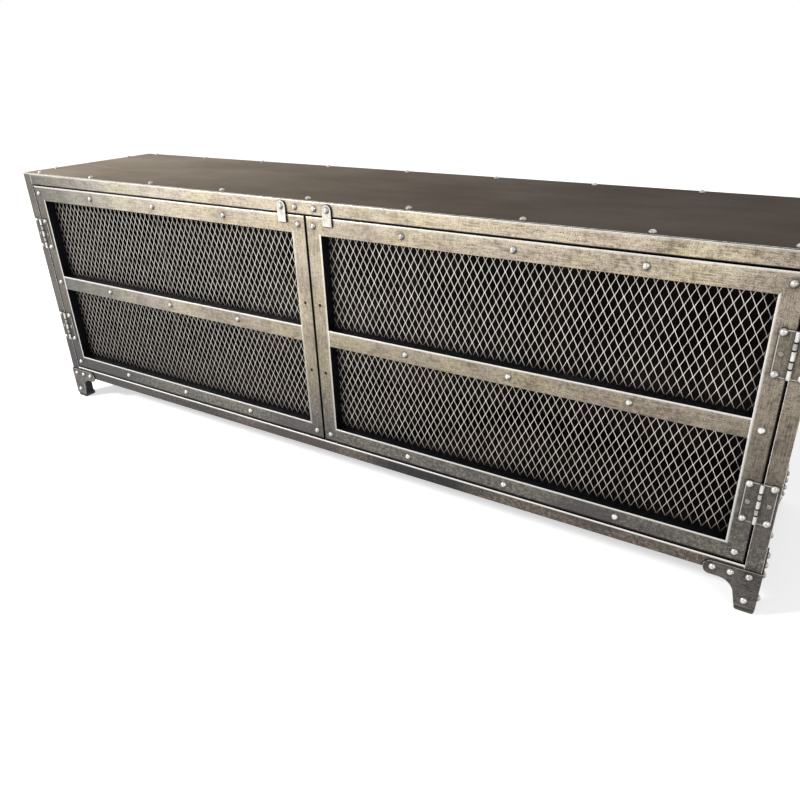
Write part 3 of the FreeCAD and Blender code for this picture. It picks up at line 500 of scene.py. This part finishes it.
def steel(name, grain, dark, light, second, worn_and_highlit=STEEL_WORN_AND_HIGHLIT, roughness=0.40, edge=1.9 * MM,
          wear_and_highlight=1.0, graded=True, returns=True, knuckles=False, metallic=0.42, broad=0.85,
          glints=0.75, domes=False):
    """Distressed steel: mottled colour, lengthwise brushing, stains, worn edges with a painted highlight,
    and painted shade in corners.

    graded changes it over the cabinet, with painted shade towards the feet and ends, returns paints shade
    on the faces that look into gaps and hollows, knuckles and domes add the marks of hinges and rivets,
    and broad is the strength of the wear and painted highlight on wide edges.
    """
    s = Steel(name, grain)
    colour = s.flecked(s.patches(dark, light, second, graded), worn_and_highlit, glints)
    if graded:
        colour = s.graded(colour)

    normal, near_edge, facing = s.rounded(edge)
    # Edges that face down get painted shade, and no wear or highlight.
    down = s.ramp(s.axis(facing, "Z"), -0.20, -0.50)
    # Painted shade in corners, against neighbouring parts and round the rivets.
    colour = s.mix(s.times(s.corner_shade(7 * MM, 0.98, 0.66), 0.90), colour, PAINTED_SHADE)
    colour = s.mix(s.times(near_edge, down, 0.80), colour, PAINTED_SHADE)
    if returns:
        shown, end = s.shown_faces()
        # Painted shade on the faces that look into gaps and hollows, and on the edges at the gaps.
        colour = s.mix(shown, HOLLOW_SHADE, colour)
        wear_and_highlight = s.times(s.outer_edges(facing, shown, end), wear_and_highlight)
        # Wear and painted highlights on the broad edges.
        colour = s.mix(s.times(s.bright_bands(), s.times(shown, broad)), colour, worn_and_highlit)
        gap = s.times(s.dark_bands(), shown)
        # Full metallic keeps reflections off the painted shade there.
        metallic = s.most(gap, s.minus(1.0, shown), metallic)
        wear_and_highlight = s.times(wear_and_highlight, s.minus(1.0, gap))
        colour = s.mix(s.times(gap, 0.97), colour, PAINTED_SHADE)

    # Worn edges with a painted highlight, left off the edges that face down.
    edges = s.times(near_edge, s.rubbed, wear_and_highlight, s.minus(1.0, down))
    if knuckles:
        colour, edges = s.hinge_marks(colour, edges)
    if graded:
        # The edges' wear and painted highlight are less bright towards the feet: painted shade.
        worn_and_highlit = s.scaled(worn_and_highlit, s.ramp(s.height, 0.02, 0.30, 0.80, 1.0))
    colour = s.mix(edges, colour, worn_and_highlit)
    if graded and s.upright:
        # Painted shade in and round the handle holes.
        colour = s.mix(s.handle_holes(), colour, PAINTED_SHADE)
    if domes:
        colour = s.dome_shade(colour)

    rough = s.plus(s.ramp(s.mottle, 0.3, 0.7, roughness + 0.12, roughness - 0.06),
                   s.swing(s.streak, 0.18))
    rough = s.minus(rough, s.times(edges, 0.10))
    normal = s.bump(s.blotch, 0.35, 1.2 * MM, normal)
    normal = s.bump(s.mottle, 0.35, 0.25 * MM, normal)
    normal = s.bump(s.streak, 0.40, 0.05 * MM, normal)
    normal = s.bump(s.grit, 0.35, 0.08 * MM, normal)
    return s.finish(**{"Base Color": colour, "Metallic": metallic, "Roughness": rough,
                       "Normal": normal})


# ---------------------------------------------------------------- other finishes
TOP_LEFT = (0.29, 0.240, 0.178)
TOP_MIDDLE = (0.112, 0.086, 0.060)
TOP_RIGHT = (0.062, 0.045, 0.034)

PANEL_INSIDE_SHADE = (0.006, 0.004, 0.004)
PANEL_BROWN = (0.022, 0.013, 0.010)
PANEL_DARK = (0.050, 0.041, 0.032)
PANEL_BRONZE = (0.115, 0.096, 0.075)
PANEL_MILL = (0.19, 0.165, 0.13)
PANEL_SCUFF = (0.30, 0.265, 0.21)
PANEL_EDGE = (0.30, 0.27, 0.22)

STRAND_DULL = (0.50, 0.455, 0.40)
STRAND_PALE = (0.92, 0.87, 0.80)
STRAND_BACK_SHADE = (0.10, 0.088, 0.076)

PAD_DARK = (0.040, 0.034, 0.030)
PAD_SCUFF = (0.105, 0.092, 0.078)
PAD_EDGE = (0.24, 0.22, 0.19)


def top_finish():
    """Dark waxed sheet with fine brushing from end to end, a faint bloom, and a painted sheen that
    lightens it towards the left end.
    """
    s = Shader("waxed_top")
    brush = s.noise(s.stretch(0.02, 1, 1), 420, 4, 0.7)
    hair = s.noise(s.stretch(0.02, 1, 1), 1900, 2, 0.6)
    cloud = s.noise(s.stretch(0.5, 1, 1), 7, 5, 0.6)
    # Lighter towards the left end: a painted sheen.
    base = s.mix(s.ramp(s.across, -1.05, 0.10), TOP_LEFT, TOP_MIDDLE)
    base = s.mix(s.ramp(s.across, -0.20, 0.70), base, TOP_RIGHT)
    base = s.scaled(base, s.plus(s.swing(brush, 1.1), s.swing(cloud, 0.7), s.swing(hair, 0.8), 1.0))
    base = s.mix(s.times(s.corner_shade(6 * MM), 0.85), base, PAINTED_SHADE)
    normal, near_edge, _ = s.rounded(1.8 * MM)
    rubbed = s.ramp(s.noise(s.place, 90, 4, 0.7), 0.30, 0.58, 0.35, 1.0)
    # Worn edges with a painted highlight.
    base = s.mix(s.times(near_edge, rubbed), base, STEEL_WORN_AND_HIGHLIT)
    rough = s.plus(s.ramp(cloud, 0.3, 0.7, 0.58, 0.48), s.swing(brush, 0.20))
    normal = s.bump(brush, 0.30, 0.05 * MM, normal)
    normal = s.bump(cloud, 0.10, 1.5 * MM, normal)
    return s.finish(**{"Base Color": base, "Metallic": 0.0, "Roughness": rough, "Normal": normal,
                       "Specular IOR Level": 0.03})


def panel_finish():
    """Sheet steel of the sides, back and floor: dark bronze outside, and near-black painted shade with
    warmer patches inside.
    """
    s = Shader("oiled_panel")
    cloud = s.noise(s.place, 9, 5, 0.6)
    mill = s.noise(s.stretch(0.05, 1, 1), 260, 3, 0.6)
    scuff = s.noise(s.stretch(1, 1, 0.3), 70, 5, 0.7)
    # Inside: near-black painted shade with warmer patches.
    inside = s.mix(s.ramp(cloud, 0.35, 0.7), PANEL_INSIDE_SHADE, PANEL_BROWN)
    outside = s.mix(s.ramp(cloud, 0.32, 0.70), PANEL_DARK, PANEL_BRONZE)
    outside = s.mix(s.ramp(mill, 0.48, 0.78, 0.0, 0.45), outside, PANEL_MILL)
    outside = s.mix(s.ramp(scuff, 0.62, 0.78, 0.0, 0.40), outside, PANEL_SCUFF)
    # Painted shade against joints and neighbouring parts.
    outside = s.mix(s.times(s.corner_shade(9 * MM), 0.80), outside, PAINTED_SHADE)
    colour = s.mix(s.outward(), inside, outside)
    normal, near_edge, _ = s.rounded(0.6 * MM)
    # Worn edges with a painted highlight.
    colour = s.mix(s.times(near_edge, 0.6), colour, PANEL_EDGE)
    rough = s.ramp(cloud, 0.3, 0.7, 0.74, 0.58)
    normal = s.bump(mill, 0.30, 0.06 * MM, normal)
    normal = s.bump(cloud, 0.20, 1.5 * MM, normal)
    return s.finish(**{"Base Color": colour, "Metallic": 0.0, "Roughness": rough,
                       "Normal": normal, "Specular IOR Level": 0.10})


def mesh_finish():
    """Pale rubbed strands, with painted shade on the side that faces into the cabinet, towards the bottom
    and the left, and near the frames.
    """
    s = Shader("expanded_strands")
    rub = s.noise(s.place, 40, 4, 0.6)
    grit = s.noise(s.place, 1100, 2, 0.6)
    tone = s.plus(s.times(rub, 0.75), s.times(grit, 0.35))
    colour = s.mix(s.ramp(tone, 0.36, 0.70), STRAND_DULL, STRAND_PALE)
    # Painted shade on the strands' side that faces into the cabinet.
    back_shade = s.ramp(s.axis(s.normal, "Y"), 0.30, 0.80)
    colour = s.mix(back_shade, colour, STRAND_BACK_SHADE)
    # Painted shade towards the bottom and the left end.
    colour = s.scaled(colour, s.times(s.ramp(s.height, 0.04, 0.50, 0.70, 1.0),
                                      s.ramp(s.across, -0.95, 0.35, 0.60, 0.95)))
    # Painted shadow of the frames near the mesh's edge.
    colour = s.mix(s.times(s.corner_shade(30 * MM, 0.80, 0.45), 0.80), colour, PAINTED_SHADE)
    rough = s.ramp(grit, 0.3, 0.7, 0.48, 0.36)
    normal = s.bump(grit, 0.3, 0.05 * MM)
    return s.finish(**{"Base Color": colour, "Metallic": 0.45, "Roughness": rough,
                       "Normal": normal})


def pad_finish():
    """Brown-grey moulded foot, scuffed low down."""
    s = Shader("moulded_foot")
    grain = s.noise(s.place, 700, 3, 0.6)
    scuff = s.noise(s.stretch(1, 1, 2.5), 120, 4, 0.65)
    colour = s.mix(s.ramp(scuff, 0.40, 0.70), PAD_DARK, PAD_SCUFF)
    normal, near_edge, _ = s.rounded(0.8 * MM)
    colour = s.mix(s.times(near_edge, 0.6), colour, PAD_EDGE)
    rough = s.ramp(grain, 0.3, 0.7, 0.72, 0.55)
    normal = s.bump(grain, 0.4, 0.08 * MM, normal)
    return s.finish(**{"Base Color": colour, "Metallic": 0.0, "Roughness": rough,
                       "Normal": normal})


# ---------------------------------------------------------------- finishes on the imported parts
PANELS = ("bottom_sheet", "back_sheet", "left_side_sheet", "right_side_sheet")


def make_finishes():
    """Each finish under the name that finish_of gives."""
    finishes = {axis: steel(f"body_steel_{axis}", axis, STEEL_DARK, STEEL_GOLD, STEEL_ROSE)
                for axis in ALONG}
    finishes["bracket"] = steel(
        "bracket_steel", "x", dark=(0.022, 0.020, 0.019), light=(0.120, 0.110, 0.101),
        second=(0.095, 0.084, 0.079), worn_and_highlit=(0.70, 0.66, 0.60), edge=1.6 * MM, graded=False,
        returns=False, glints=0.06)
    finishes["hinge"] = steel(
        "hinge_steel", "z", dark=(0.12, 0.102, 0.082), light=(0.44, 0.39, 0.31),
        second=(0.36, 0.33, 0.285), edge=0.9 * MM, wear_and_highlight=0.35, returns=False, knuckles=True,
        glints=0.25)
    finishes["latch"] = steel(
        "latch_steel", "z", dark=(0.42, 0.39, 0.34), light=(0.74, 0.71, 0.63),
        second=(0.72, 0.68, 0.62), worn_and_highlit=(0.95, 0.93, 0.88), edge=0.5 * MM, graded=False, broad=0.0)
    finishes["rivet"] = steel(
        "rivet_steel", "x", dark=(0.32, 0.30, 0.26), light=(0.80, 0.78, 0.73),
        second=(0.76, 0.73, 0.68), roughness=0.22, edge=0.5 * MM, wear_and_highlight=0.3, graded=False,
        returns=False, metallic=0.55, domes=True)
    finishes["pin"] = steel(
        "pin_steel", "z", dark=(0.030, 0.027, 0.024), light=(0.10, 0.09, 0.08),
        second=(0.08, 0.07, 0.065), edge=0.4 * MM, wear_and_highlight=0.4, graded=False, returns=False)
    finishes.update(top=top_finish(), panel=panel_finish(), pad=pad_finish())
    return finishes


def finish_of(node):
    """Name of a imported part's finish: of body steel, the axis that its brushing runs along."""
    if node == "top_sheet":
        return "top"
    if node in PANELS:
        return "panel"
    if node == "hinge_pins":
        return "pin"
    if node == "latch_pivots":
        return "rivet"
    for ending, finish in (("foot_pad", "pad"), ("foot_bracket", "bracket"), ("rivets", "rivet"),
                           ("_leaf", "hinge"), ("_latch", "latch"), ("post", "z"), ("stile", "z")):
        if node.endswith(ending):
            return finish
    if node == "top_bearer" or "door" not in node and node.startswith(("left_", "right_")):
        return "y"
    return "x"


def dress_parts():
    finishes = make_finishes()
    for node in nodes:
        materials = nodes[node].data.materials
        materials.clear()
        materials.append(finishes[finish_of(node)])


# ---------------------------------------------------------------- expanded mesh
MESH_HALF_WIDE = 15.5 * MM / 2      # half a diamond, which is how far one strand goes
MESH_HALF_HIGH = 28.7 * MM / 2
MESH_BORDER = 9 * MM
BORDER_COVER = 0.6                  # share of the border's width that the strands' ends stay within
STRAND_WIDE = 1.15 * MM
STRAND_THICK = 0.8 * MM
STRAND_TILT = math.radians(12)
STRAND_SWAY = 0.10 * MM             # how far the strands pass before and behind each other at a knot
STRAND_SWING = 0.25                 # share of a strand's travel that follows an S curve
KNOT_SPREAD = 0.45                  # distance of a strand's end from its knot, in strand widths
SHORTEST_STRAND = 0.02              # least share of a strand worth making where the border cuts it
STRAND_STATIONS = (0.0, 0.14, 0.30, 0.70, 0.86, 1.0)


def link_mesh(name, verts, faces):
    """A new object of these corners and faces."""
    mesh = bpy.data.meshes.new(name)
    mesh.from_pydata(verts, [], faces)
    mesh.validate()
    mesh.update()
    piece = bpy.data.objects.new(name, mesh)
    bpy.context.scene.collection.objects.link(piece)
    return piece


def strand_starts(low, high):
    """Start point and lean of every strand of the diamond grid between two corners."""
    middle_x, middle_z = (low.x + high.x) / 2, (low.z + high.z) / 2
    count_x = int((high.x - low.x) / 2 / MESH_HALF_WIDE) + 2
    count_z = int((high.z - low.z) / 2 / MESH_HALF_HIGH) + 2
    for column in range(-count_x, count_x + 1):
        for row in range(-count_z, count_z + 1):
            if (column + row) % 2 == 0:
                for lean in (-1, 1):
                    yield middle_x + column * MESH_HALF_WIDE, middle_z + row * MESH_HALF_HIGH, lean


def strand_point(x, z, lean, share):
    """Centre of a strand at a share of its length: it leaves and meets its knots upright."""
    swing = share * share * (3 - 2 * share)
    travel = STRAND_SWING * swing + (1 - STRAND_SWING) * share
    offset = lean * STRAND_WIDE * KNOT_SPREAD * (1 - 2 * share)
    return x + lean * MESH_HALF_WIDE * travel + offset, z + MESH_HALF_HIGH * share


def clip_share(start, step, low, high):
    """Part of 0 to 1 over which start + step * share stays between low and high."""
    first, last = sorted(((low - start) / step, (high - start) / step))
    return max(0.0, first), min(1.0, last)


def strand_verts(x, y, z, lean, first, last):
    """Corners of a strand between two shares of its length: a turned oblong at each station."""
    verts = []
    for station in STRAND_STATIONS:
        share = first + (last - first) * station
        centre_x, centre_z = strand_point(x, z, lean, share)
        centre_y = y - lean * STRAND_SWAY * math.cos(math.pi * share)
        twist = STRAND_TILT * math.sin(math.pi * share)
        flat = Vector((math.cos(twist), math.sin(twist))) * STRAND_WIDE / 2
        deep = Vector((-math.sin(twist), math.cos(twist))) * STRAND_THICK / 2
        for u, v in OBLONG:
            verts.append((centre_x + u * flat.x + v * deep.x,
                          centre_y + u * flat.y + v * deep.y, centre_z))
    return verts


def strand_faces(base):
    """Four sides from station to station and a cap at each end, for corners from base on."""
    faces = []
    for station in range(len(STRAND_STATIONS) - 1):
        for corner in range(4):
            a = base + 4 * station + corner
            b = base + 4 * station + (corner + 1) % 4
            faces.append((a, b, b + 4, a + 4))
    faces.append((base + 3, base + 2, base + 1, base))
    top = base + 4 * (len(STRAND_STATIONS) - 1)
    faces.append((top, top + 1, top + 2, top + 3))
    return faces


def border_verts(low, high):
    """Corners of the flat rim round the strands: an outer and an inner ring, front and back."""
    verts = []
    for y in (low.y, high.y):
        for gap in (0.0, MESH_BORDER):
            verts += [(low.x + gap, y, low.z + gap), (high.x - gap, y, low.z + gap),
                      (high.x - gap, y, high.z - gap), (low.x + gap, y, high.z - gap)]
    return verts


def border_faces(base):
    """The rim's faces, for corners from base on."""
    faces = []
    for corner in range(4):
        front_out, front_in, back_out, back_in = (base + 4 * ring + corner for ring in range(4))
        after = (corner + 1) % 4
        next_front_out, next_front_in, next_back_out, next_back_in = (
            base + 4 * ring + after for ring in range(4))
        faces.append((front_out, next_front_out, next_front_in, front_in))
        faces.append((back_in, next_back_in, next_back_out, back_out))
        faces.append((back_out, next_back_out, next_front_out, front_out))
        faces.append((front_in, next_front_in, next_back_in, back_in))
    return faces


def expanded_mesh(side):
    """Expanded steel: leaning strands that twist from knot to knot, inside a plain border."""
    low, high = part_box(f"{side}_door_mesh")
    inset = Vector((MESH_BORDER * BORDER_COVER, 0, MESH_BORDER * BORDER_COVER))
    inner_low, inner_high = low + inset, high - inset
    centre_y = (low.y + high.y) / 2
    verts, faces = [], []
    for x, z, lean in strand_starts(inner_low, inner_high):
        first_x, last_x = clip_share(x, lean * MESH_HALF_WIDE, inner_low.x, inner_high.x)
        first_z, last_z = clip_share(z, MESH_HALF_HIGH, inner_low.z, inner_high.z)
        first, last = max(first_x, first_z), min(last_x, last_z)
        if last - first >= SHORTEST_STRAND:
            faces += strand_faces(len(verts))
            verts += strand_verts(x, centre_y, z, lean, first, last)
    faces += border_faces(len(verts))
    verts += border_verts(low, high)
    return link_mesh(f"{side}_expanded_mesh", verts, faces)


def make_meshes():
    material = mesh_finish()
    for side in ("left", "right"):
        piece = expanded_mesh(side)
        piece.data.materials.append(material)
        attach(piece, f"{side}_door")
        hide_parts(f"{side}_door_mesh")


# ---------------------------------------------------------------- studio
WORLD_LIGHT = 0.30                  # the plain white background's strength as a light
FLOOR_REACH = 14                    # from its middle, in metres
LAMP_TARGET = (0, 0, 0.3)


def make_floor():
    """A pale floor that glows to the camera and in reflections, and still takes shadows."""
    s = Shader("studio_floor")
    paint = s.grey(s.ramp(s.noise(s.place, 2.0, 2, 0.5), 0.3, 0.7, 0.86, 0.88))
    paint = s.add("ShaderNodeBsdfDiffuse", {"Color": paint})
    away = s.vector_math("LENGTH", s.place)["Value"]
    level = s.ramp(away, 0.9, 3.0, 0.58, 0.90)
    path = s.add("ShaderNodeLightPath", {}).outputs
    seen = s.most(path["Is Camera Ray"], path["Is Glossy Ray"])
    glow = s.add("ShaderNodeEmission", {"Color": (1, 1, 1, 1), "Strength": s.times(seen, level)})
    both = s.add("ShaderNodeAddShader", {0: paint.outputs[0], 1: glow.outputs[0]})
    corners = [(x * FLOOR_REACH, y * FLOOR_REACH, 0) for x, y in OBLONG]
    floor = link_mesh("floor", corners, [(0, 1, 2, 3)])
    floor.data.materials.append(s.surface(both))


def make_lamp(name, place, size, power):
    """A round lamp that faces the cabinet."""
    data = bpy.data.lights.new(name, "AREA")
    data.shape = "DISK"
    data.size = size
    data.energy = power
    lamp = bpy.data.objects.new(name, data)
    lamp.location = place
    lamp.rotation_euler = (Vector(LAMP_TARGET) - Vector(place)).to_track_quat("-Z", "Y").to_euler()
    bpy.context.scene.collection.objects.link(lamp)


def make_world():
    """A white background, plain white to the camera and in reflections, and dimmer as a light."""
    world = bpy.data.worlds.new("studio")
    world.use_nodes = True
    tree = world.node_tree
    background = tree.nodes["Background"]
    background.inputs["Color"].default_value = (1, 1, 1, 1)
    path = tree.nodes.new("ShaderNodeLightPath")
    seen = tree.nodes.new("ShaderNodeMath")
    seen.operation = "MAXIMUM"
    tree.links.new(path.outputs["Is Camera Ray"], seen.inputs[0])
    tree.links.new(path.outputs["Is Glossy Ray"], seen.inputs[1])
    level = tree.nodes.new("ShaderNodeMapRange")
    level.inputs["To Min"].default_value = WORLD_LIGHT
    level.inputs["To Max"].default_value = 1.0
    tree.links.new(seen.outputs[0], level.inputs["Value"])
    tree.links.new(level.outputs[0], background.inputs["Strength"])
    bpy.context.scene.world = world


def make_studio():
    make_floor()
    make_lamp("key_lamp", (-2.2, -2.4, 2.2), size=0.6, power=126)
    make_lamp("fill_lamp", (2.6, -2.2, 1.8), size=1.8, power=22)
    make_world()
    bpy.context.scene.view_settings.view_transform = "Standard"


make_camera()
dress_parts()
make_meshes()
make_studio()
